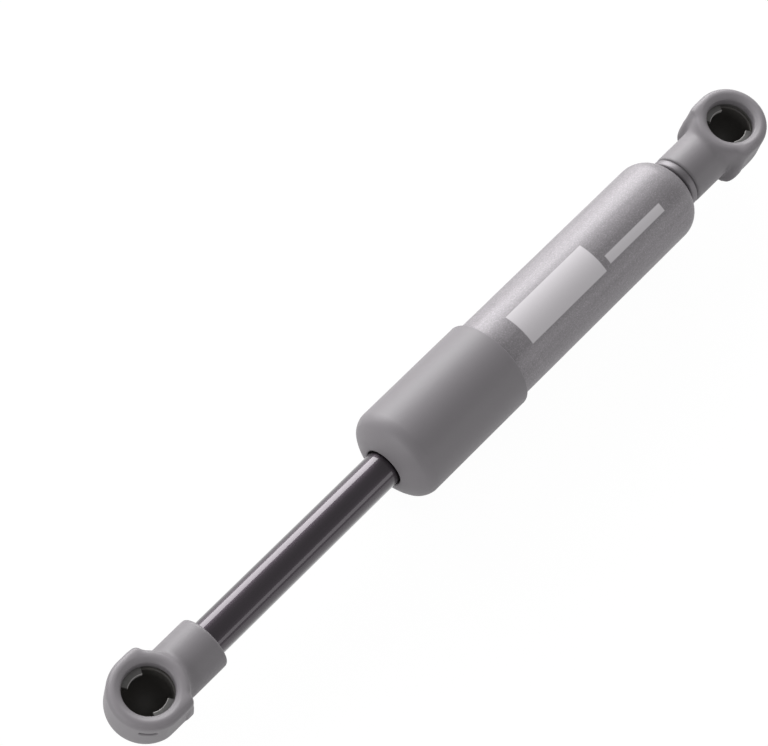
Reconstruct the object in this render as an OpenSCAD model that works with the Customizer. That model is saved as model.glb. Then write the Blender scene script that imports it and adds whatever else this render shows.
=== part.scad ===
// Gas spring for furniture flaps: a steel pressure tube, a black piston rod and a
// plastic ball socket at each end. X runs along the spring from the socket
// on the tube to the socket on the rod, Z points out of the mouths of the sockets,
// and the origin is the centre of the ball seat on the tube. The spring is drawn
// fully extended, as an unloaded one stands.

/* [Travel] */
// How far the rod slides into the tube
stroke = 45; // [20:1:80]
// Bare rod left between the cap and the socket when the rod is fully in
rod_reserve = 6.8; // [1:0.1:12]
// Room left between the tube's closed end and the piston when the rod is fully in
gas_reserve = 13; // [10:0.2:40]

/* [Pressure tube] */
// Outer radius of the tube
tube_r = 9.5; // [9:0.1:12]
// Wall of the tube
tube_wall = 1; // [0.8:0.1:1.3]
// Outer radius of the rounded shoulder at the closed end
shoulder_r = 6; // [4.5:0.1:6]
// Thickness of the flat closed end
end_wall = 1.2; // [1:0.1:1.6]
// Outer radius of the lip that is rolled in over the guide
lip_r = 4; // [3.5:0.1:4.2]
// Depth of the bead that is rolled into the tube behind the seal
bead_depth = 0.8; // [0.6:0.1:1]
// Length of that bead
bead_len = 2; // [1.8:0.1:3]

/* [End stud] */
// Radius of the threads that the sockets are screwed on
thread_r = 3; // [2.5:0.1:3.2]
// Radius of the stud's head inside the tube
stud_head_r = 5; // [4.5:0.1:6]
// Thickness of the stud's head
stud_head_len = 1.4; // [1:0.1:2.5]
// Thickness of the soft gasket at the rim of the stud's head
gasket_len = 0.4; // [0.3:0.1:1]
// Radius of the steel collar between the tube and its socket
collar_r = 6; // [5:0.1:6.5]
// Thickness of that collar
collar_len = 2; // [1.5:0.1:4]

/* [Piston rod] */
// Radius of the rod
rod_r = 4; // [3.6:0.1:4.2]
// Radius of the thin end that carries the piston
journal_r = 2.5; // [2:0.1:2.8]
// Radius of the head that is riveted over behind the piston
rivet_r = 3.6; // [3.3:0.1:4.5]
// Length of that head
rivet_len = 1.5; // [1:0.1:2.5]

/* [Piston] */
// Radial gap between the piston and the tube
piston_gap = 0.3; // [0.2:0.05:0.5]
// Length of the piston
piston_len = 5.6; // [4.5:0.1:10]
// Width of the groove for the piston ring
ring_groove_w = 2.2; // [1.6:0.1:2.8]
// Depth of that groove
ring_groove_d = 1.4; // [1:0.1:2]
// Play of the ring in its groove, all round
ring_play = 0.15; // [0.1:0.05:0.3]
// Thickness of the thin disc that throttles the flow
valve_len = 0.4; // [0.3:0.1:0.8]
// Gap between that disc's rim and the tube
valve_gap = 1.1; // [0.8:0.1:2]
// Thickness of the washer on the piston's rod side
front_washer_len = 1.2; // [0.8:0.1:2]
// Gap between that washer's rim and the tube
front_washer_gap = 0.7; // [0.5:0.1:1.5]
// Thickness of the washer under the riveted head
back_washer_len = 1; // [0.6:0.1:2]
// Radius of that washer
back_washer_r = 6; // [5.5:0.1:6.4]

/* [Guide and seals] */
// Gap between the piston's washer and the buffer it stops on
stop_gap = 0.1; // [0.05:0.05:0.5]
// Length of the soft buffer that ends the outward stroke
buffer_len = 3; // [2:0.1:6]
// Thickness of the steel washer between the bead and the seal
seal_washer_len = 1.5; // [1:0.1:2.5]
// Length of the rod seal
seal_len = 4.5; // [4:0.1:7]
// Depth of the channels that make the seal's lips
seal_channel = 2; // [1:0.1:2.4]
// Length of the bush that guides the rod
guide_len = 9; // [8:0.1:16]
// Section radius of the sealing ring round that bush
o_ring_r = 0.75; // [0.6:0.05:0.9]
// Length of the wiper between the bush and the cap
wiper_len = 2.2; // [1.8:0.1:4]
// Radial running gap between the rod or ring and what it slides in
run_gap = 0.04; // [0.02:0.01:0.08]
// Radial gap where a washer or buffer passes the rod freely
free_gap = 0.3; // [0.2:0.05:0.5]

/* [Cap] */
// Wall of the plastic cap
cap_wall = 1; // [0.7:0.1:1.4]
// Thickness of the cap's front round the rod
cap_front = 2; // [1.6:0.1:3]
// Length of the cap along the tube
cap_len = 32.9; // [25:0.1:50]
// Rounding between the cap's wall and its domed front
cap_edge_r = 3.5; // [2.5:0.1:5]
// Angle that this rounding turns through before it meets the dome
cap_edge_turn = 48; // [40:1:60]
// Radius of the domed front
dome_r = 9.5; // [8:0.1:12]
// Rounding of the hole's edge in the cap's front
hole_round = 1; // [0.5:0.1:1.2]
// Rounding of the cap's rim on the tube
rim_r = 0.4; // [0.2:0.1:0.6]

/* [Ball sockets] */
// Radius of the ball seat, for a ball of 10 mm
seat_r = 5.05; // [4.8:0.05:5.3]
// Radius of the mouth above the clip, which is wider than the seat
mouth_r = 5.25; // [5.1:0.05:5.5]
// Height of the mouth above the seat's centre
mouth_h = 6.9; // [6.4:0.1:8]
// Rounding of the mouth's edge
mouth_round = 0.6; // [0.3:0.1:0.9]
// Width of the rim that closes the mouth in front of the neck
mouth_rim_w = 1.5; // [1.3:0.1:2]
// Radius of the head's round end, and half its width
head_r = 8.1; // [7.9:0.1:9.5]
// Depth of the head behind the seat's centre
back_h = 6.1; // [6:0.1:8]
// Rounding of the head's front edge
front_round = 1.4; // [0.8:0.1:1.8]
// Rounding of the head's back
back_round = 4.9; // [3:0.1:5.5]
// Distance from the seat's centre to the head's shoulders, at the seat's height
shoulder_x = 5.4; // [5.2:0.1:8]
// Slope of the shoulders, which reach further at the back than at the mouth
shoulder_tilt = 6; // [0:1:10]
// Rounding of the shoulders
shoulder_round = 1.2; // [1:0.1:2.5]
// Depth of the grip flats on the head's two sides
flat_d = 0.4; // [0.2:0.1:0.6]
// Width of the rim that stands proud in front of the flats
flat_rim = 2.4; // [2:0.1:5]
// Radius of the socket's neck
neck_r = 6; // [5:0.1:6.2]
// Distance from the seat's centre to the end of the neck
socket_reach = 16.5; // [14:0.5:26]
// Rounding of the neck's end edge
neck_round = 0.6; // [0.3:0.1:1]
// Depth of the recess in the neck that takes the rod's full size
recess_len = 1.5; // [1:0.1:3]
// Plastic left between the seat and the thread's hole
seat_wall = 3; // [1.5:0.1:4]

/* [Ball clips] */
// Thickness of the spring steel clip
clip_t = 0.8; // [0.6:0.1:1]
// Height of the clip's underside above the seat's centre
clip_z = 3.2; // [3:0.1:3.5]
// Outer radius of the clip
clip_r = 6.2; // [6:0.1:6.6]
// Width of the clip's ring between the jaws, which stays inside its groove
clip_w = 0.7; // [0.5:0.05:0.75]
// Radius between the two jaws that hold the ball
jaw_r = 3.9; // [3.7:0.05:4.1]
// Angle that each jaw spans
jaw_angle = 62; // [40:1:80]
// Angle of the gap where the clip is open
clip_open = 50; // [30:1:70]
// Height of the clip's groove above the clip's own thickness
clip_play = 0.1; // [0.05:0.05:0.2]
// Length of the slot in the wall that the clip is pushed in through
slot_len = 3.6; // [2.5:0.1:4.5]

/* [Hidden] */
$fn = 96;
eps = 0.01;

// Radii that follow from the tube
bore_r = tube_r - tube_wall;
cap_r = tube_r + cap_wall;
lip_open_r = tube_r - lip_r;
stud_r = thread_r;
groove_r = clip_r;
floor_flat_r = tube_r - shoulder_r;
floor_round = shoulder_r - tube_wall;
floor_turn = asin(max(0, stud_head_r - floor_flat_r) / floor_round);
hole_r = rod_r + free_gap;

// Places along the spring, from the tube's ball seat to the rod's
collar_x = socket_reach;
tube_x = collar_x + collar_len;
floor_x = tube_x + end_wall;
head_x = floor_x + floor_round * (1 - cos(floor_turn)) + gasket_len;
rivet_x = floor_x + gas_reserve + stroke;
back_washer_x = rivet_x + rivet_len;
piston_x = back_washer_x + back_washer_len;
valve_x = piston_x + piston_len;
front_washer_x = valve_x + valve_len;
journal_x = front_washer_x + front_washer_len;
buffer_x = journal_x + stop_gap;
bead_x = buffer_x + buffer_len;
seal_washer_x = bead_x + bead_len;
seal_x = seal_washer_x + seal_washer_len;
guide_x = seal_x + seal_len;
wiper_x = guide_x + guide_len;
cap_wall_x = wiper_x + wiper_len;
cap_x = cap_wall_x + cap_front;
rod_socket_x = cap_x + rod_reserve + stroke;
spacing = rod_socket_x + socket_reach;
echo(extended = spacing, compressed = spacing - stroke);

// Sizes inside the rest of the parts
thread_len = socket_reach - seat_r - seat_wall;
ring_x = piston_x + (piston_len - ring_groove_w) / 2;

// Centres of the cap's edge rounding and of its dome, as (place, radius)
edge_centre = [
    cap_x - cap_edge_r * sin(cap_edge_turn) - dome_r * (1 - sin(cap_edge_turn)),
    cap_r - cap_edge_r];
dome_centre = edge_centre
    - (dome_r - cap_edge_r) * [sin(cap_edge_turn), cos(cap_edge_turn)];
o_ring_x = guide_x + (guide_len - lip_r + tube_wall) / 2;

// Points of an arc round (x, y), from angle a to angle b
function arc(x, y, r, a, b, n = 16) =
    [for (i = [0:n]) [x + r * cos(a + (b - a) * i / n), y + r * sin(a + (b - a) * i / n)]];

// Turns an outline of (x, radius) points round the X axis
module lathe(points) {
    rotate([0, 90, 0])
        rotate_extrude() polygon([for (p = points) [p[1], p[0]]]);
}

// A ring round the X axis from x to x + len
module ring(x, len, r_out, r_in) {
    translate([x, 0, 0]) rotate([0, 90, 0]) difference() {
        cylinder(r = r_out, h = len);
        translate([0, 0, -1]) cylinder(r = r_in, h = len + 2);
    }
}

// A plain rod along the X axis
module bar(x, len, r) {
    translate([x, 0, 0]) rotate([0, 90, 0]) cylinder(r = r, h = len);
}

// A wedge from angle a to angle b, as tall as it is told
module wedge(a, b, r, z, h) {
    translate([0, 0, z]) linear_extrude(h)
        polygon(concat([[0, 0]], arc(0, 0, r, a, b, 4)));
}

// The rounded floor inside the tube, from its wall to the flat round the stud
function floor_arc() = arc(floor_x + floor_round, floor_flat_r, floor_round, 90, 180);

module pressure_tube() {
    roll_x = wiper_x - lip_r + tube_wall;
    bead_bottom = bore_r - bead_depth;
    outside = concat(
        [[tube_x, stud_r], [tube_x, floor_flat_r]],
        arc(tube_x + shoulder_r, floor_flat_r, shoulder_r, 180, 90),
        [[bead_x, tube_r], [bead_x + bead_len / 2, tube_r - bead_depth], [bead_x + bead_len, tube_r]],
        arc(roll_x, lip_open_r, lip_r, 90, 0));
    inside = concat(
        arc(roll_x, lip_open_r, lip_r - tube_wall, 0, 90),
        [[bead_x + bead_len, bore_r], [bead_x + bead_len / 2, bead_bottom], [bead_x, bore_r]],
        floor_arc(), [[floor_x, stud_r]]);
    color("silver") lathe(concat(outside, inside));
}

module end_stud() {
    color("lightsteelblue") union() {
        bar(head_x, stud_head_len, stud_head_r);
        bar(collar_x - recess_len, head_x - collar_x + recess_len + eps, stud_r);
        bar(collar_x - recess_len, recess_len, rod_r);
        bar(collar_x - thread_len, thread_len - recess_len + eps, thread_r);
    }
}

// The gasket lies on the tube's rounded floor and fills the room under the stud's head
module end_gasket() {
    color("dimgray") intersection() {
        ring(floor_x, head_x - floor_x, stud_head_r, stud_r);
        lathe(concat(floor_arc(), [[floor_x, 0], [floor_x + floor_round, 0]]));
    }
}

module end_collar() {
    soft = collar_len / 4;
    color("gainsboro") lathe(concat(
        [[collar_x, stud_r]],
        arc(collar_x + soft, collar_r - soft, soft, 180, 90, 6),
        arc(collar_x + collar_len - soft, collar_r - soft, soft, 90, 0, 6),
        [[collar_x + collar_len, stud_r]]));
}

// The cap's front from its wall into the dome, this deep under its outside,
// as far in as an angle from the axis
function front_arc(depth, last) = concat(
    arc(edge_centre[0], edge_centre[1], cap_edge_r - depth, 90, 90 - cap_edge_turn, 10),
    arc(dome_centre[0], dome_centre[1], dome_r - depth, 90 - cap_edge_turn, last, 10));

module end_cap() {
    rim_x = cap_x - cap_len;
    hole_turn = asin((hole_r + hole_round - dome_centre[1]) / (dome_r - hole_round));
    flat_turn = acos((cap_wall_x - dome_centre[0]) / (dome_r - cap_wall));
    lip = dome_centre + (dome_r - hole_round) * [cos(hole_turn), sin(hole_turn)];
    inside = front_arc(cap_wall, flat_turn);
    color("gray") lathe(concat(
        [[rim_x, tube_r]],
        arc(rim_x + rim_r, cap_r - rim_r, rim_r, 180, 90, 6),
        front_arc(0, hole_turn),
        arc(lip[0], lip[1], hole_round, hole_turn, -90, 8),
        [[cap_wall_x, hole_r]],
        [for (i = [len(inside) - 1:-1:0]) inside[i]]));
}

// The wiper fills the room between the rolled lip and the cap's front
module wiper_ring() {
    color("darkgray") ring(wiper_x, wiper_len, lip_open_r - 0.1, rod_r + run_gap);
}

module guide_bush() {
    inner = lip_r - tube_wall;
    groove = 2 * o_ring_r;
    color("ivory") difference() {
        lathe(concat(
            [[guide_x, rod_r + run_gap], [guide_x, bore_r]],
            arc(wiper_x - inner, bore_r - inner, inner, 90, 0),
            [[wiper_x, rod_r + run_gap]]));
        ring(o_ring_x - groove / 2, groove, bore_r + 1, bore_r - groove);
    }
}

module guide_o_ring() {
    color("black") translate([o_ring_x, 0, 0]) rotate([0, 90, 0])
        rotate_extrude() translate([bore_r - o_ring_r, 0]) circle(r = o_ring_r);
}

module rod_seal() {
    lip = 0.9;
    mid = (rod_r + bore_r) / 2;
    color("black") difference() {
        ring(seal_x, seal_len, bore_r, rod_r + run_gap);
        ring(seal_x - 1, seal_channel + 1, bore_r - lip, rod_r + run_gap + lip);
        ring(seal_x + seal_len - seal_channel / 2, seal_channel, mid + lip / 2, mid - lip / 2);
    }
}

module seal_washer() {
    color("silver") ring(seal_washer_x, seal_washer_len, bore_r, rod_r + free_gap);
}

module rebound_buffer() {
    soft = buffer_len / 5;
    color("darkorange") lathe([
        [buffer_x, rod_r + free_gap + soft], [buffer_x, bore_r - soft],
        [buffer_x + soft, bore_r], [bead_x, bore_r],
        [bead_x, rod_r + free_gap], [buffer_x + soft, rod_r + free_gap]]);
}

module piston_ring() {
    color("white") ring(
        ring_x + ring_play, ring_groove_w - 2 * ring_play,
        bore_r - run_gap, bore_r - piston_gap - ring_groove_d + ring_play);
}

module piston() {
    outer = bore_r - piston_gap;
    color("tan") difference() {
        ring(piston_x, piston_len, outer, journal_r);
        ring(ring_x, ring_groove_w, outer + 1, outer - ring_groove_d);
    }
}

module valve_disc() {
    color("lightsteelblue") ring(valve_x, valve_len, bore_r - valve_gap, journal_r);
}

module piston_front_washer() {
    color("silver") ring(front_washer_x, front_washer_len, bore_r - front_washer_gap, journal_r);
}

module piston_back_washer() {
    color("silver") ring(back_washer_x, back_washer_len, back_washer_r, journal_r);
}

module piston_rod() {
    color([0.12, 0.12, 0.13]) union() {
        lathe([
            [rivet_x, 0], [rivet_x, rivet_r - rivet_len / 2],
            [rivet_x + rivet_len / 2, rivet_r], [back_washer_x, rivet_r],
            [back_washer_x, 0]]);
        bar(back_washer_x - eps, journal_x - back_washer_x + 2 * eps, journal_r);
        bar(journal_x, rod_socket_x + recess_len - journal_x, rod_r);
        bar(rod_socket_x + recess_len - eps, thread_len - recess_len + eps, thread_r);
    }
}

// Half outline of the head, as (distance from the middle, height) points
function head_outline() = concat(
    [[0, -back_h]],
    arc(head_r - back_round, back_round - back_h, back_round, -90, 0),
    arc(head_r - front_round, mouth_h - front_round, front_round, 0, 90, 8),
    [[0, mouth_h]]);

// The other half of an outline, back to where the first half began
function other_side(points, x_sign, y_sign) =
    [for (i = [len(points) - 1:-1:0]) [x_sign * points[i][0], y_sign * points[i][1]]];

// The rounded shoulders, seen from the mouth, as a plan larger than the round end.
// Each corner begins outside the head's side, in line with its first facet.
module shoulder_plan() {
    corner = arc(shoulder_x - shoulder_round, head_r - shoulder_round, shoulder_round, 0, 90, 8);
    lead = corner[8] + (corner[8] - corner[7]);
    half = concat(corner, [lead, [-head_r - 1, head_r + 1]]);
    polygon(concat(half, other_side(half, 1, -1)));
}

// The head: a half-round end towards -X and a straight block up to the shoulders
module head() {
    outline = head_outline();
    sides = [for (i = [1:len(outline) - 2]) outline[i]];
    rotate([0, 0, 90]) rotate_extrude(angle = 180) polygon(outline);
    intersection() {
        rotate([90, 0, 90]) linear_extrude(shoulder_x + 1)
            polygon(concat(sides, other_side(sides, -1, 1)));
        rotate([0, -shoulder_tilt, 0]) translate([0, 0, -back_h - 3])
            linear_extrude(back_h + mouth_h + 6) shoulder_plan();
    }
}

// The rim round the mouth, which stands out over the neck between the shoulders
module mouth_rim() {
    rim_out_r = mouth_r + mouth_rim_w;
    rotate_extrude() polygon(concat(
        [[0, 0], [rim_out_r, 0]],
        arc(rim_out_r - mouth_round, mouth_h - mouth_round, mouth_round, 0, 90, 8),
        [[0, mouth_h]]));
}

// Shallow flats on both sides of the head, behind the rim round the mouth
module grip_flats() {
    long = head_r * 0.9;
    for (side = [0, 1]) mirror([0, side, 0])
        translate([-head_r / 2, head_r - flat_d, -back_h - 1])
            cube([long, flat_d + 1, back_h + 1 + mouth_h - flat_rim]);
}

// What is cut out round the ball: its seat, the clip's groove, and the mouth above it
module ball_cut() {
    groove_h = clip_t + clip_play;
    rotate_extrude() polygon(concat(
        arc(0, 0, seat_r, -90, 0, 24),
        [[seat_r, clip_z], [groove_r, clip_z],
            [groove_r, clip_z + groove_h], [mouth_r, clip_z + groove_h]],
        arc(mouth_r + mouth_round, mouth_h - mouth_round, mouth_round, 180, 90, 8),
        [[mouth_r + mouth_round, mouth_h + 1], [0, mouth_h + 1]]));
    rotate([0, 0, -135]) translate([(mouth_r + groove_r) / 2, -slot_len / 2, clip_z])
        cube([head_r, slot_len, groove_h]);
}

// A ball socket with its neck along +X, its mouth along +Z and its seat at the origin
module socket() {
    difference() {
        union() {
            difference() {
                head();
                grip_flats();
            }
            mouth_rim();
            lathe(concat(
                [[shoulder_x / 2, 0], [shoulder_x / 2, neck_r]],
                arc(socket_reach - neck_round, neck_r - neck_round, neck_round, 90, 0, 8),
                [[socket_reach, 0]]));
        }
        ball_cut();
        lathe([
            [socket_reach - thread_len, 0], [socket_reach - thread_len, thread_r],
            [socket_reach - recess_len, thread_r], [socket_reach - recess_len, rod_r],
            [socket_reach + 1, rod_r], [socket_reach + 1, 0]]);
    }
}

// The clip that holds the ball: an open ring with two jaws across the neck's axis
module ball_clip() {
    translate([0, 0, clip_z]) difference() {
        cylinder(r = clip_r, h = clip_t);
        translate([0, 0, -1]) cylinder(r = jaw_r, h = clip_t + 2);
        difference() {
            translate([0, 0, -1]) cylinder(r = clip_r - clip_w, h = clip_t + 2);
            for (side = [-90, 90])
                wedge(side - jaw_angle / 2, side + jaw_angle / 2, clip_r, -1, clip_t + 2);
        }
        wedge(-clip_open / 2, clip_open / 2, 2 * clip_r, -1, clip_t + 2);
    }
}

// Turns a socket or clip to the rod's end of the spring
module at_rod_end() {
    translate([spacing, 0, 0]) rotate([0, 0, 180]) children();
}

module tube_end_socket() {
    color("darkgray") socket();
}

module tube_end_clip() {
    color("gainsboro") ball_clip();
}

module rod_end_socket() {
    color("darkgray") at_rod_end() socket();
}

module rod_end_clip() {
    color("gainsboro") at_rod_end() ball_clip();
}

pressure_tube();
end_stud();
end_gasket();
end_collar();
tube_end_socket();
tube_end_clip();
end_cap();
wiper_ring();
guide_bush();
guide_o_ring();
rod_seal();
seal_washer();
rebound_buffer();
piston_ring();
piston();
valve_disc();
piston_front_washer();
piston_back_washer();
piston_rod();
rod_end_socket();
rod_end_clip();
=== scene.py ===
import bmesh
import bpy
from math import cos, pi, radians, sin
from mathutils import Matrix, Vector


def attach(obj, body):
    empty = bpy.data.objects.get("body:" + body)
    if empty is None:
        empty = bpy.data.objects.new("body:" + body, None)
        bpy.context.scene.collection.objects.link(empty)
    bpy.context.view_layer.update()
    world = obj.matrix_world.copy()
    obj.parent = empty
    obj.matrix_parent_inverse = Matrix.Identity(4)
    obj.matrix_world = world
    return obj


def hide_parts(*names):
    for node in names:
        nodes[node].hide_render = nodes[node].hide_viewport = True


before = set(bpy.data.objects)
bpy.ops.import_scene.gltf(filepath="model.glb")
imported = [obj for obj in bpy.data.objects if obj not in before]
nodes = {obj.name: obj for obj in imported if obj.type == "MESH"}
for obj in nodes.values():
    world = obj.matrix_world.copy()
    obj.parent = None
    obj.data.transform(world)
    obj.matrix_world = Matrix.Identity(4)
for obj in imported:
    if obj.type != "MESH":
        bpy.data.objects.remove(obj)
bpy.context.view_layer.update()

# PRESSURE TUBE
# A drawn steel tube with one closed, rounded end. Its other end is rolled in over the
# rod's guide, and a bead is rolled in behind the seal. Its satin silver lacquer has a thin
# clear coat, and a plain pale panel and bar are printed on it.
MM = 0.001
MERGE = 0.0001  # in mm: points closer than this become one


class Wire:
    """The output of a shader node. Sums on it add Math nodes."""

    def __init__(self, finish, socket):
        self.finish, self.socket = finish, socket

    def maths(self, operation, *others):
        """What a Math node makes of this value and the others."""
        values = dict(enumerate((self,) + others))
        return self.finish.add("ShaderNodeMath", {"operation": operation}, values)

    def __add__(self, other):
        return self.maths("ADD", other)

    def __radd__(self, other):
        return self + other

    def __mul__(self, other):
        return self.maths("MULTIPLY", other)

    def __rmul__(self, other):
        return self * other

    def __sub__(self, other):
        return self.maths("SUBTRACT", other)

    def __rsub__(self, other):
        return self * -1 + other

    def __pow__(self, other):
        return self.maths("POWER", other)

    def over(self, edge, soft):
        """1 above the edge and 0 below it, with a soft change."""
        return self.finish.add(
            "ShaderNodeMapRange", {"interpolation_type": "SMOOTHSTEP"},
            {"Value": self, "From Min": edge - soft, "From Max": edge + soft})


class Finish:
    """A material with one Principled BSDF, which add() grows node by node."""

    def __init__(self, name, metallic=0.0, **constants):
        self.material = bpy.data.materials.new(name)
        self.material.use_nodes = True
        self.tree = self.material.node_tree
        self.shader = self.tree.nodes["Principled BSDF"]
        self.shader.inputs["Metallic"].default_value = metallic
        for socket, value in constants.items():
            self.shader.inputs[socket.replace("_", " ")].default_value = value
        self.place = self.add("ShaderNodeTexCoord", {}, {}, "Object")

    def add(self, kind, settings, values, output=0):
        """One output of a new node, given its settings and its sockets' values or links."""
        node = self.tree.nodes.new(kind)
        for name, value in settings.items():
            setattr(node, name, value)
        for name, value in values.items():
            if isinstance(value, Wire):
                self.tree.links.new(value.socket, node.inputs[name])
            else:
                node.inputs[name].default_value = value
        return Wire(self, node.outputs[output])

    def axes(self):
        """How far along X, Y and Z a point of the piece lies, in metres."""
        return [self.add("ShaderNodeSeparateXYZ", {}, {0: self.place}, axis) for axis in "XYZ"]

    def noise(self, size, detail, stretch=(1, 1, 1), rough=0.5):
        """Noise with features of about this size in mm, drawn out along the axes."""
        place = self.add("ShaderNodeMapping", {}, {"Vector": self.place, "Scale": stretch})
        return self.add(
            "ShaderNodeTexNoise", {},
            {"Vector": place, "Scale": 1 / (size * MM), "Detail": detail, "Roughness": rough})

    def blend(self, share, first, second):
        """The first colour, going over into the second as the share rises to 1."""
        return self.add("ShaderNodeMix", {"data_type": "RGBA"}, {0: share, 6: first, 7: second}, 2)

    def shade(self, colour, share):
        """The colour made lighter or darker by a share that varies."""
        return self.add(
            "ShaderNodeVectorMath", {"operation": "SCALE"}, {0: colour[:3], "Scale": share})

    def feed(self, **inputs):
        """Links values to the Principled BSDF's inputs of those names."""
        for name, wire in inputs.items():
            self.tree.links.new(wire.socket, self.shader.inputs[name.replace("_", " ")])

    def bump(self, height, depth):
        """Raises the surface by a height from 0 to 1 times this depth in mm."""
        self.feed(Normal=self.add(
            "ShaderNodeBump", {}, {"Height": height, "Distance": depth * MM}))


def grey(level, warm=0.0, violet=0.0):
    """A grey, with a share more red and less blue, or with a share less green."""
    return (level * (1 + warm), level * (1 - violet), level * (1 - warm), 1)


def placed(name, data):
    """Puts a new object in the scene."""
    thing = bpy.data.objects.new(name, data)
    bpy.context.scene.collection.objects.link(thing)
    return thing


def made(name, bm):
    """Turns a finished bmesh into an object."""
    mesh = bpy.data.meshes.new(name)
    bm.to_mesh(mesh)
    bm.free()
    return placed(name, mesh)


def filled(bm, corners, roundings, segments):
    """Fills a flat outline, with a radius in mm and a number of segments for each corner."""
    points = [bm.verts.new(corner) for corner in corners]
    bm.faces.new(points)
    for point, rounding, count in zip(points, roundings, segments):
        if rounding:
            bmesh.ops.bevel(
                bm, geom=[point], offset=rounding, offset_type="OFFSET", affect="VERTICES",
                segments=count, profile=0.5, material=-1, clamp_overlap=False)
    bmesh.ops.remove_doubles(bm, verts=bm.verts, dist=MERGE)


def turned(name, outline, steps=160, axis="X"):
    """Spins a closed outline of (place, radius, rounding) corners in mm about an axis."""
    bm = bmesh.new()
    roundings = [rounding for _, _, rounding in outline]
    # A small rounding shows little of its curve, so it gets fewer faces
    filled(
        bm, [(place, 0, radius) for place, radius, _ in outline], roundings,
        [4 if rounding < 1.2 else 20 for rounding in roundings])
    bmesh.ops.delete(bm, geom=bm.faces[:], context="FACES_ONLY")
    bmesh.ops.spin(
        bm, geom=bm.verts[:] + bm.edges[:], cent=(0, 0, 0), axis=(1, 0, 0), dvec=(0, 0, 0),
        angle=2 * pi, steps=steps, use_merge=True, use_duplicate=False)
    bmesh.ops.remove_doubles(bm, verts=bm.verts, dist=MERGE)
    bmesh.ops.recalc_face_normals(bm, faces=bm.faces)
    if axis == "Z":
        bmesh.ops.rotate(bm, verts=bm.verts, matrix=Matrix.Rotation(-pi / 2, 3, "Y"))
    return made(name, bm)


def dress(piece, finish, body, node, sharp=32, place=Matrix.Identity(4)):
    """Brings a finished piece from mm into the part's frame in metres and fits it there.

    An edge stays hard where the surface turns by more than sharp, in degrees.
    """
    piece.data.transform(Matrix.Scale(MM, 4) @ place)
    piece.data.shade_smooth()
    piece.data.set_sharp_from_angle(angle=radians(sharp))
    piece.data.materials.clear()
    piece.data.materials.append(finish.material)
    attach(piece, body)
    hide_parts(node)


tube_r, tube_wall, tube_start, tube_end = 9.5, 1.0, 18.5, 108.5
bore_r = tube_r - tube_wall
end_wall = 1.2
stud_r, lip_r = 3.0, 5.5
bead, bead_half, bead_depth = 91.5, 1.0, 0.8
before_bead, after_bead = bead - bead_half, bead + bead_half

tube = turned("drawn_tube", [
    (tube_start, stud_r, 0.1), (tube_start, tube_r, 6), (before_bead, tube_r, 0.3),
    (bead, tube_r - bead_depth, 0.3), (after_bead, tube_r, 0.3), (tube_end, tube_r, 4),
    (tube_end, lip_r, 0.2), (tube_end - tube_wall, lip_r, 0.2),
    (tube_end - tube_wall, bore_r, 3), (after_bead, bore_r, 0.3),
    (bead, bore_r - bead_depth, 0.3), (before_bead, bore_r, 0.3),
    (tube_start + end_wall, bore_r, 5), (tube_start + end_wall, stud_r, 0.1)], steps=192)

metal_share = 0.42  # how metallic the lacquer is, where nothing is printed on it
lacquer = Finish(
    "silver_lacquer", metallic=metal_share, Roughness=0.55, Coat_Weight=0.1,
    Coat_Roughness=0.13)
across, side, height = lacquer.axes()
# The angle round the tube, in degrees from the top towards -Y
angle = (side * -1).maths("ARCTAN2", height) * (180 / pi)


def printed(start, end, low, high):
    """1 inside a printed rectangle, from start to end in mm and low to high in degrees."""
    soft_mm, soft_degrees = 0.12, 0.7
    return (across.over(start * MM, soft_mm * MM) * (1 - across.over(end * MM, soft_mm * MM))
            * angle.over(low, soft_degrees) * (1 - angle.over(high, soft_degrees)))


panel = printed(start=48.8, end=72.7, low=-30, high=18)
bar = printed(start=29, end=47, low=-26.5, high=-14)
ink = panel.maths("MAXIMUM", bar)
grain = lacquer.noise(0.35, 2, rough=0.7)
drawn = lacquer.noise(1.6, 3, stretch=(0.06, 1, 1))
flecks = lacquer.noise(0.3, 2, rough=0.8).over(0.6, 0.06)
silver = lacquer.shade(
    grey(0.256, violet=0.055), 0.4 + 0.76 * grain + 0.34 * drawn + 0.3 * flecks)
lacquer.feed(
    Base_Color=lacquer.blend(ink * (0.93 + 0.07 * grain), silver, grey(0.58, violet=0.04)),
    Roughness=0.47 + 0.16 * grain + 0.05 * drawn + 0.15 * ink,
    Metallic=metal_share - 0.37 * ink)
lacquer.bump(grain * 0.7 + drawn * 0.3 + ink * 0.8, 0.012)
dress(tube, lacquer, "barrel", "pressure_tube")

# END COLLAR, STUD AND GASKET
# The stud is a turned steel bolt whose head sits inside the tube on a soft gasket. Its
# shank passes the tube's closed end and a loose zinc-plated steel collar, and its thread
# holds the socket.
collar_start, collar_r, collar_edge = 16.5, 5.95, 0.6
collar = turned("zinc_collar", [
    (collar_start, stud_r, 0.1), (collar_start, collar_r, collar_edge),
    (tube_start, collar_r, collar_edge), (tube_start, stud_r, 0.1)])


def turned_steel(name, level, rough):
    """Steel with the fine rings that a lathe leaves round the spring's axis."""
    finish = Finish(name, metallic=1.0, Roughness=rough)
    rings = finish.noise(0.12, 1, stretch=(1, 0.01, 0.01))
    stains = finish.noise(2.5, 3)
    finish.feed(
        Base_Color=finish.shade(grey(level, violet=0.05), 0.84 + 0.2 * rings + 0.12 * stains),
        Roughness=rough - 0.05 + 0.08 * rings + 0.08 * stains)
    finish.bump(rings, 0.006)
    return finish


zinc = turned_steel("zinc_plate", 0.21, 0.54)
dress(collar, zinc, "barrel", "end_collar")


def fit(node, finish):
    """Gives a CAD node that keeps its shape its finish."""
    nodes[node].data.materials.clear()
    nodes[node].data.materials.append(finish.material)


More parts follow.
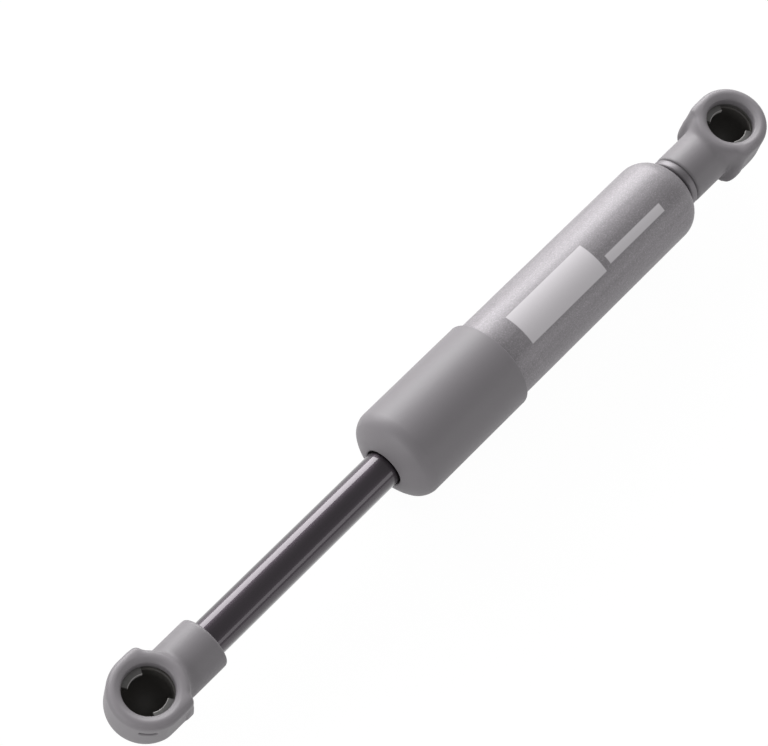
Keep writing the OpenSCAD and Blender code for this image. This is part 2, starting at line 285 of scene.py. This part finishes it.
def rubber(name, colour, rough):
    """Moulded rubber or soft plastic: a matt, slightly dusty skin, finely uneven."""
    finish = Finish(name, Roughness=rough, Specular_IOR_Level=0.35)
    skin = finish.noise(0.25, 3)
    dust = finish.noise(1.8, 4)
    finish.feed(
        Base_Color=finish.shade(colour, 0.85 + 0.2 * skin + 0.2 * dust.over(0.55, 0.2)),
        Roughness=rough - 0.06 + 0.12 * skin)
    finish.bump(skin, 0.02)
    return finish


black_rubber = rubber("black_rubber", grey(0.028), 0.62)
fit("end_stud", zinc)
fit("end_gasket", black_rubber)

# PISTON AND ITS RING
# The piston is pressed and sintered from iron powder. It sits between two stamped
# steel washers and a thin spring disc, and a white ring in its groove seals it.
sinter = Finish("sintered_iron", metallic=0.8, Roughness=0.5)
powder = sinter.noise(0.16, 2, rough=0.8)
pores = sinter.noise(0.3, 1).over(0.66, 0.03)
sinter.feed(
    Base_Color=sinter.shade(grey(0.27, 0.03), 0.8 + 0.4 * powder - 0.5 * pores),
    Roughness=0.42 + 0.2 * powder + 0.2 * pores)
sinter.bump(powder - pores, 0.02)
fit("piston", sinter)
stamped = turned_steel("stamped_steel", 0.55, 0.3)
for washer in ("piston_front_washer", "piston_back_washer", "seal_washer"):
    fit(washer, stamped)
fit("valve_disc", turned_steel("spring_disc", 0.42, 0.2))
fit("piston_ring", rubber("white_low_friction_plastic", grey(0.8), 0.38))

# PISTON ROD
# A ground and polished steel rod, nitrided black. Its thin end carries the piston and is
# riveted over behind it, and its other end has the thread for the socket.
rod_r, thin_r, rivet_r, thread_r = 4.0, 2.5, 3.6, 3.0
rivet_start, rivet_end, shoulder = 77.7, 79.2, 87.4
thread_start, thread_end = 165, 171.9
rod = turned("polished_rod", [
    (rivet_start, 0, 0), (rivet_start, rivet_r, 0.7), (rivet_end, rivet_r, 0.1),
    (rivet_end, thin_r, 0.1), (shoulder, thin_r, 0.1), (shoulder, rod_r, 0.2),
    (thread_start, rod_r, 0.15), (thread_start, thread_r, 0.1),
    (thread_end, thread_r, 0.4), (thread_end, 0, 0)], steps=128)
nitride = Finish(
    "black_nitride", metallic=1.0, Roughness=0.4, Coat_Weight=1.0, Coat_Roughness=0.06)
polish = nitride.noise(0.5, 2, stretch=(0.02, 1, 1))
cloud = nitride.noise(4, 3, stretch=(0.3, 1, 1))
nitride.feed(
    Base_Color=nitride.shade(grey(0.047, violet=0.2), 0.85 + 0.2 * polish + 0.15 * cloud),
    Roughness=0.36 + 0.05 * polish + 0.04 * cloud)
nitride.bump(polish, 0.001)
dress(rod, nitride, "rod", "piston_rod")

# GUIDE, SEALS AND BUFFER
# An ivory plastic bush guides the rod, with a sealing ring round it. Behind it lie the
# lipped rod seal, a steel washer and the amber buffer that softens the outward stop, and
# a felt ring in front wipes the rod.
fit("guide_bush", rubber("ivory_plastic", (0.72, 0.67, 0.55, 1), 0.42))
fit("guide_o_ring", black_rubber)
fit("rod_seal", black_rubber)
fit("rebound_buffer", rubber("amber_rubber", (0.5, 0.2, 0.03, 1), 0.4))
felt = Finish("grey_felt", Roughness=0.95, Sheen_Weight=0.4)
fibres = felt.noise(0.5, 4, stretch=(1, 0.4, 1.6), rough=0.75)
felt.feed(Base_Color=felt.shade(grey(0.22), 0.6 + 0.8 * fibres), Roughness=0.85 + 0.1 * fibres)
felt.bump(fibres, 0.08)
fit("wiper_ring", felt)

# END CAP
# A thin moulded cap of matt grey plastic, pushed over the tube's rolled end. Its rounded
# front hides the guide and lets the rod through.
cap_r, cap_bore_r, cap_hole_r = 10.49, 9.51, 4.31
cap_start, cap_end, cap_inside = 78.8, 111.7, 109.7
# Between its side and its front the cap slopes, rounded where the slope starts and ends
cap = turned("moulded_cap", [
    (cap_start, cap_bore_r, 0.1), (cap_start, cap_r, 0.4), (108.217, cap_r, 1.558),
    (110.739, 7.699, 2.211), (cap_end, cap_hole_r, 0.5), (cap_inside, cap_hole_r, 0.1),
    (cap_inside, 6.985, 0), (109.211, 7.902, 1.038), (107.772, cap_bore_r, 1.113)], steps=192)


def moulded(name, level, rough):
    """Moulded plastic from an eroded steel mould: a fine even grain and faint flow marks."""
    finish = Finish(name, Roughness=rough, IOR=1.5)
    fine = finish.noise(0.14, 2, rough=0.6)
    flow = finish.noise(6, 3, stretch=(0.5, 1, 1))
    finish.colour = finish.shade(grey(level, violet=0.06), 0.92 + 0.08 * fine + 0.08 * flow)
    finish.feed(
        Base_Color=finish.colour, Roughness=rough - 0.05 + 0.08 * fine + 0.04 * flow)
    finish.bump(fine, 0.006)
    return finish


dress(cap, moulded("cap_plastic", 0.19, 0.5), "barrel", "end_cap")

# BALL SOCKETS
# Two like sockets moulded in the same grey plastic, screwed on the stud and on the rod.
# A round head with a mouth takes a 10 mm ball, and a slot in its wall lets the clip in.
between_balls = 180
seat_r, mouth_r, groove_r = 5.05, 5.25, 6.2
groove_low, groove_high = 3.2, 4.1


def applied(piece, kind, **settings):
    """Applies one modifier to a piece."""
    modifier = piece.modifiers.new(kind.lower(), kind)
    for name, value in settings.items():
        setattr(modifier, name, value)
    graph = bpy.context.evaluated_depsgraph_get()
    mesh = bpy.data.meshes.new_from_object(piece.evaluated_get(graph))
    piece.modifiers.clear()
    piece.data = mesh


def combine(piece, operation, other):
    """Joins another solid to a piece, cuts it away or keeps what both share."""
    applied(piece, "BOOLEAN", operation=operation, object=other, solver="EXACT")
    bpy.data.objects.remove(other)


def block(name, corners, low, high, along="Z", segments=10):
    """A prism on a flat outline of (x, y, rounding) corners in mm, from low to high."""
    bm = bmesh.new()
    filled(
        bm, [(x, y, low) for x, y, _ in corners], [rounding for _, _, rounding in corners],
        [segments] * len(corners))
    raised = bmesh.ops.extrude_face_region(bm, geom=bm.faces[:])["geom"]
    bmesh.ops.translate(
        bm, verts=[v for v in raised if isinstance(v, bmesh.types.BMVert)],
        vec=(0, 0, high - low))
    bmesh.ops.recalc_face_normals(bm, faces=bm.faces)
    if along == "X":
        bmesh.ops.rotate(
            bm, verts=bm.verts, matrix=Matrix(((0, 0, 1), (1, 0, 0), (0, 1, 0))))
    return made(name, bm)


def from_seats(finish):
    """Distances in metres from the nearer ball seat's centre, axis and middle plane."""
    x, y, z = finish.axes()
    x = x - between_balls * MM * x.over(between_balls / 2 * MM, 0.01)
    around = x * x + y * y
    return (around + z * z) ** 0.5, around ** 0.5, (z * z) ** 0.5


socket_plastic = moulded("socket_plastic", 0.195, 0.5)
from_centre, from_axis, from_middle = from_seats(socket_plastic)
# Painted shade: the ball's room and the clip's groove are painted dark, where shade falls inside
# the head
in_seat = 1 - from_centre.over(5.35 * MM, 0.25 * MM)
in_groove = (1 - from_axis.over(6.35 * MM, 0.1 * MM)) * (1 - from_middle.over(4.3 * MM, 0.3 * MM))
painted_room_shade = in_seat.maths("MAXIMUM", in_groove)
# Painted light: the faces round the mouths, on top, are painted a little paler than the rest
painted_top_light = 0.45 * from_middle.over(6.55 * MM, 0.25 * MM)
plain = socket_plastic.blend(painted_top_light, socket_plastic.colour, grey(0.28, violet=0.06))
socket_plastic.feed(Base_Color=socket_plastic.blend(painted_room_shade, plain, grey(0.085, 0.06)))


def socket_head(name):
    """One socket in mm, with its ball seat at the origin and its neck along +X."""
    head_r, front, back = 8.1, 6.9, -6.1
    front_edge, back_edge = 1.4, 4.9
    head = turned(name, [
        (back, 0, 0), (back, head_r, back_edge), (front, head_r, front_edge), (front, 0, 0)],
        steps=128, axis="Z")

    # The head goes over into the neck in square shoulders, whose face leans back a little:
    # lean is in degrees, and slope says the same in mm for each mm of height
    shoulder_x, shoulder_y, lean, slope = 5.4, 8.12, 6, 0.105
    shoulders = block("shoulders", [
        (-head_r, back, back_edge), (head_r, back, back_edge),
        (head_r, front, front_edge), (-head_r, front, front_edge)],
        0, 8, along="X", segments=16)
    plan = block("plan", [
        (-2, -shoulder_y, 0), (shoulder_x, -shoulder_y, 1.2),
        (shoulder_x, shoulder_y, 1.2), (-2, shoulder_y, 0)], -9, 9)
    plan.data.transform(Matrix.Rotation(radians(-lean), 4, "Y"))
    combine(shoulders, "INTERSECT", plan)
    combine(head, "UNION", shoulders)
    rim_r = 6.7
    combine(head, "UNION", turned("rim", [
        (0, 0, 0), (0, rim_r, 0), (front, rim_r, 1.1), (front, 0, 0)], steps=96, axis="Z"))
    neck_r, neck_start, neck_end = 5.98, 2.9, 16.5
    combine(head, "UNION", turned("neck", [
        (neck_start, 0, 0), (neck_start, neck_r, 0), (neck_end, neck_r, 0.6),
        (neck_end, 0, 0)], steps=128))

    # Two grip flats, the ball's room with the clip's groove, its slot and the thread's hole
    flat_back, flat_front, grip, clear = -4.05, 3.24, 7.7, 9.5
    for way in (1, -1):
        combine(head, "DIFFERENCE", block("flat", [
            (flat_back, grip * way, 0), (flat_front, grip * way, 0),
            (flat_front, clear * way, 0), (flat_back, clear * way, 0)][::way], -8, 4.5))
    flare_start, flare_end, flare_r, above = 6.3, 7.2, 7.1, 9
    combine(head, "DIFFERENCE", turned("ball_room", [
        (-seat_r, 0, 0), (-seat_r, seat_r, seat_r), (groove_low, seat_r, 0),
        (groove_low, groove_r, 0), (groove_high, groove_r, 0), (groove_high, mouth_r, 0),
        (flare_start, mouth_r, 0.35), (flare_end, flare_r, 0), (above, flare_r, 0),
        (above, 0, 0)], steps=96, axis="Z"))
    slot_start, slot_half = 5.6, 1.8
    slot = block("slot", [
        (slot_start, -slot_half, 0), (clear, -slot_half, 0), (clear, slot_half, 0),
        (slot_start, slot_half, 0)], groove_low, groove_high)
    slot.data.transform(Matrix.Rotation(radians(-135), 4, "Z"))
    combine(head, "DIFFERENCE", slot)
    hole_r, recess_r, hole_start, recess_start, past_end = 3.04, 4.06, 8.05, 15, 18
    combine(head, "DIFFERENCE", turned("thread_hole", [
        (hole_start, 0, 0), (hole_start, hole_r, 0), (recess_start, hole_r, 0),
        (recess_start, recess_r, 0), (past_end, recess_r, 0), (past_end, 0, 0)], steps=64))

    # All edges get a mould's soft rounding. The corner at the neck's root and the saddle
    # over it get more, and what lies within rim_side of the mouth's axis stays out of that
    applied(head, "REMESH", mode="VOXEL", voxel_size=0.17, use_smooth_shade=True)
    applied(head, "SMOOTH", factor=0.5, iterations=5)
    rim_side, root_r, root_reach = 6.1, 6, 2.1
    saddle_start, saddle_end, saddle_low = 2.5, 9.5, 1
    root = head.vertex_groups.new(name="root")
    saddle = head.vertex_groups.new(name="saddle")
    for point in head.data.vertices:
        x, y, z = point.co
        beyond = (Vector((x, y)).length - rim_side) / 0.5
        if beyond <= 0:
            continue
        away = Vector((Vector((y, z)).length - root_r, x - shoulder_x + slope * z)).length
        share = min(1, beyond, (root_reach - away) / 0.8)
        root.add([point.index], max(0, share), "REPLACE")
        share = min(
            1, beyond, (x - saddle_start) / 1.5, (saddle_end - x) / 1.5, (z - saddle_low) / 2)
        saddle.add([point.index], max(0, share), "REPLACE")
    applied(head, "SMOOTH", factor=0.5, iterations=40, vertex_group="root")
    applied(head, "SMOOTH", factor=0.5, iterations=150, vertex_group="saddle")
    return head


at_rod = Matrix.Translation((between_balls, 0, 0)) @ Matrix.Rotation(pi, 4, "Z")
for name, body, node, place in (
        ("socket_on_tube", "barrel", "tube_end_socket", Matrix.Identity(4)),
        ("socket_on_rod", "rod", "rod_end_socket", at_rod)):
    dress(socket_head(name), socket_plastic, body, node, sharp=70, place=place)

# BALL CLIPS
# An open ring of stamped spring steel lies in each socket's groove. Its two jaws reach
# in over the ball and snap shut behind its widest part.
jaw_r, ring_bore_r, ring_r = 3.9, 5.5, 6.15
spring = Finish("spring_steel", metallic=0.3, Roughness=0.45)
rolled = spring.noise(0.6, 3, stretch=(1, 0.15, 1))
heat = spring.noise(3, 2)
_, from_axis, _ = from_seats(spring)
# The jaws' inner edges are coloured lighter than their faces
lighter_inner_edge = 1 - from_axis.over(4.02 * MM, 0.05 * MM)
spring.feed(
    Base_Color=spring.shade(
        grey(1, 0.02), (0.14 + 0.36 * lighter_inner_edge) * (0.7 + 0.3 * rolled + 0.3 * heat)),
    Roughness=0.38 + 0.14 * rolled)
spring.bump(rolled, 0.008)


def sector(name, inner, outer, start, end, steps):
    """A flat ring of the clip's thickness in mm, from one angle to another about Z."""
    low, high = 3.22, 4.02
    bm = bmesh.new()
    face = bm.faces.new([bm.verts.new(corner) for corner in (
        (inner, 0, low), (outer, 0, low), (outer, 0, high), (inner, 0, high))])
    bmesh.ops.rotate(bm, verts=bm.verts, matrix=Matrix.Rotation(radians(start), 3, "Z"))
    bmesh.ops.spin(
        bm, geom=[face], cent=(0, 0, 0), axis=(0, 0, 1), dvec=(0, 0, 0),
        angle=radians(end - start), steps=steps, use_merge=False, use_duplicate=False)
    bmesh.ops.remove_doubles(bm, verts=bm.verts, dist=MERGE)
    bmesh.ops.recalc_face_normals(bm, faces=bm.faces)
    return made(name, bm)


def ball_clip(name):
    """One clip in mm, with its ball seat at the origin and its opening towards +X."""
    half_opening, half_jaw, overlap = 25, 31, 0.2
    clip = sector(name, ring_bore_r, ring_r, half_opening, 360 - half_opening, 120)
    for side in (90, 270):
        combine(clip, "UNION", sector(
            "jaw", jaw_r, ring_bore_r + overlap, side - half_jaw, side + half_jaw, 32))
    applied(clip, "BEVEL", width=0.1, segments=2, limit_method="ANGLE")
    return clip


for name, body, node, place in (
        ("clip_in_tube_socket", "barrel", "tube_end_clip", Matrix.Identity(4)),
        ("clip_in_rod_socket", "rod", "rod_end_clip", at_rod)):
    dress(ball_clip(name), spring, body, node, place=place)

# STUDIO
# A plain white floor under the spring, a long soft box low at its far side, a weaker one
# at its near side, another past the rod's end, and a pale room.
middle = Vector((between_balls / 2 * MM, 0, 0))
floor_level = -0.0105
floor_bm = bmesh.new()
bmesh.ops.create_grid(floor_bm, x_segments=1, y_segments=1, size=4)
bmesh.ops.translate(floor_bm, verts=floor_bm.verts, vec=(middle.x, 0, floor_level))
floor = made("floor", floor_bm)

paper = Finish("white_floor", Roughness=0.9, Base_Color=grey(0.65))
# 1 where the camera looks straight at the floor, or sees it in metal or glass
seen = paper.add("ShaderNodeLightPath", {}, {}, "Is Camera Ray")
rays = seen.socket.node.outputs
for ray in ("Is Glossy Ray", "Is Transmission Ray"):
    seen = seen.maths("MAXIMUM", Wire(paper, rays[ray]))
glow = paper.add("ShaderNodeEmission", {}, {"Color": grey(1.0), "Strength": 1.04})
glow_share = 0.93  # the rest is the paper's own shade, which keeps the spring's shadow
shown = paper.add(
    "ShaderNodeMixShader", {},
    {0: seen * glow_share, 1: Wire(paper, paper.shader.outputs[0]), 2: glow})
paper.tree.links.new(shown.socket, paper.tree.nodes["Material Output"].inputs["Surface"])
floor.data.materials.append(paper.material)

world = bpy.data.worlds.new("room")
bpy.context.scene.world = world
world.use_nodes = True
air = world.node_tree.nodes["Background"].inputs
air["Color"].default_value = grey(1.0)
air["Strength"].default_value = 0.4


def facing(place, right, back):
    """Stands a lamp or camera at a place, with its right-hand side and its back this way."""
    up = back.cross(right).normalized()
    right = up.cross(back).normalized()
    return Matrix.Translation(place) @ Matrix((right, up, back)).transposed().to_4x4()


def soft_box(name, turn, lean, distance, length, height, radiance):
    """A lamp beside the spring: lean is its angle from straight up, in degrees."""
    lamp = bpy.data.lights.new(name, "AREA")
    lamp.shape = "RECTANGLE"
    lamp.size, lamp.size_y = length, height
    lamp.energy = radiance * pi * length * height
    away = Vector((turn, -sin(radians(lean)), cos(radians(lean)))).normalized()
    placed(name, lamp).matrix_world = facing(
        middle + away * distance, Vector((1, 0, 0)), away)


soft_box(
    "far_soft_box", turn=-0.45, lean=78, distance=0.8, length=1.0, height=0.7, radiance=7.0)
soft_box(
    "near_soft_box", turn=-0.45, lean=-68, distance=0.9, length=1.3, height=0.3, radiance=1.4)
soft_box(
    "end_soft_box", turn=3.2, lean=30, distance=0.8, length=0.6, height=0.6, radiance=2.8)

# The camera stands past the rod's end, high on the near side
camera = placed("camera", bpy.data.cameras.new("camera"))
camera.data.lens, camera.data.sensor_width = 132.617, 36
camera.data.sensor_fit = "HORIZONTAL"
camera.data.clip_start = 0.01
camera.matrix_world = facing(
    (0.33227, 0.09233, 0.51267),
    right=Vector((-0.65826, 0.73753, 0.15080)).normalized(),
    back=Vector((0.41163, 0.18492, 0.89239)).normalized())
bpy.context.scene.camera = camera
bpy.context.scene.view_settings.view_transform = "Standard"
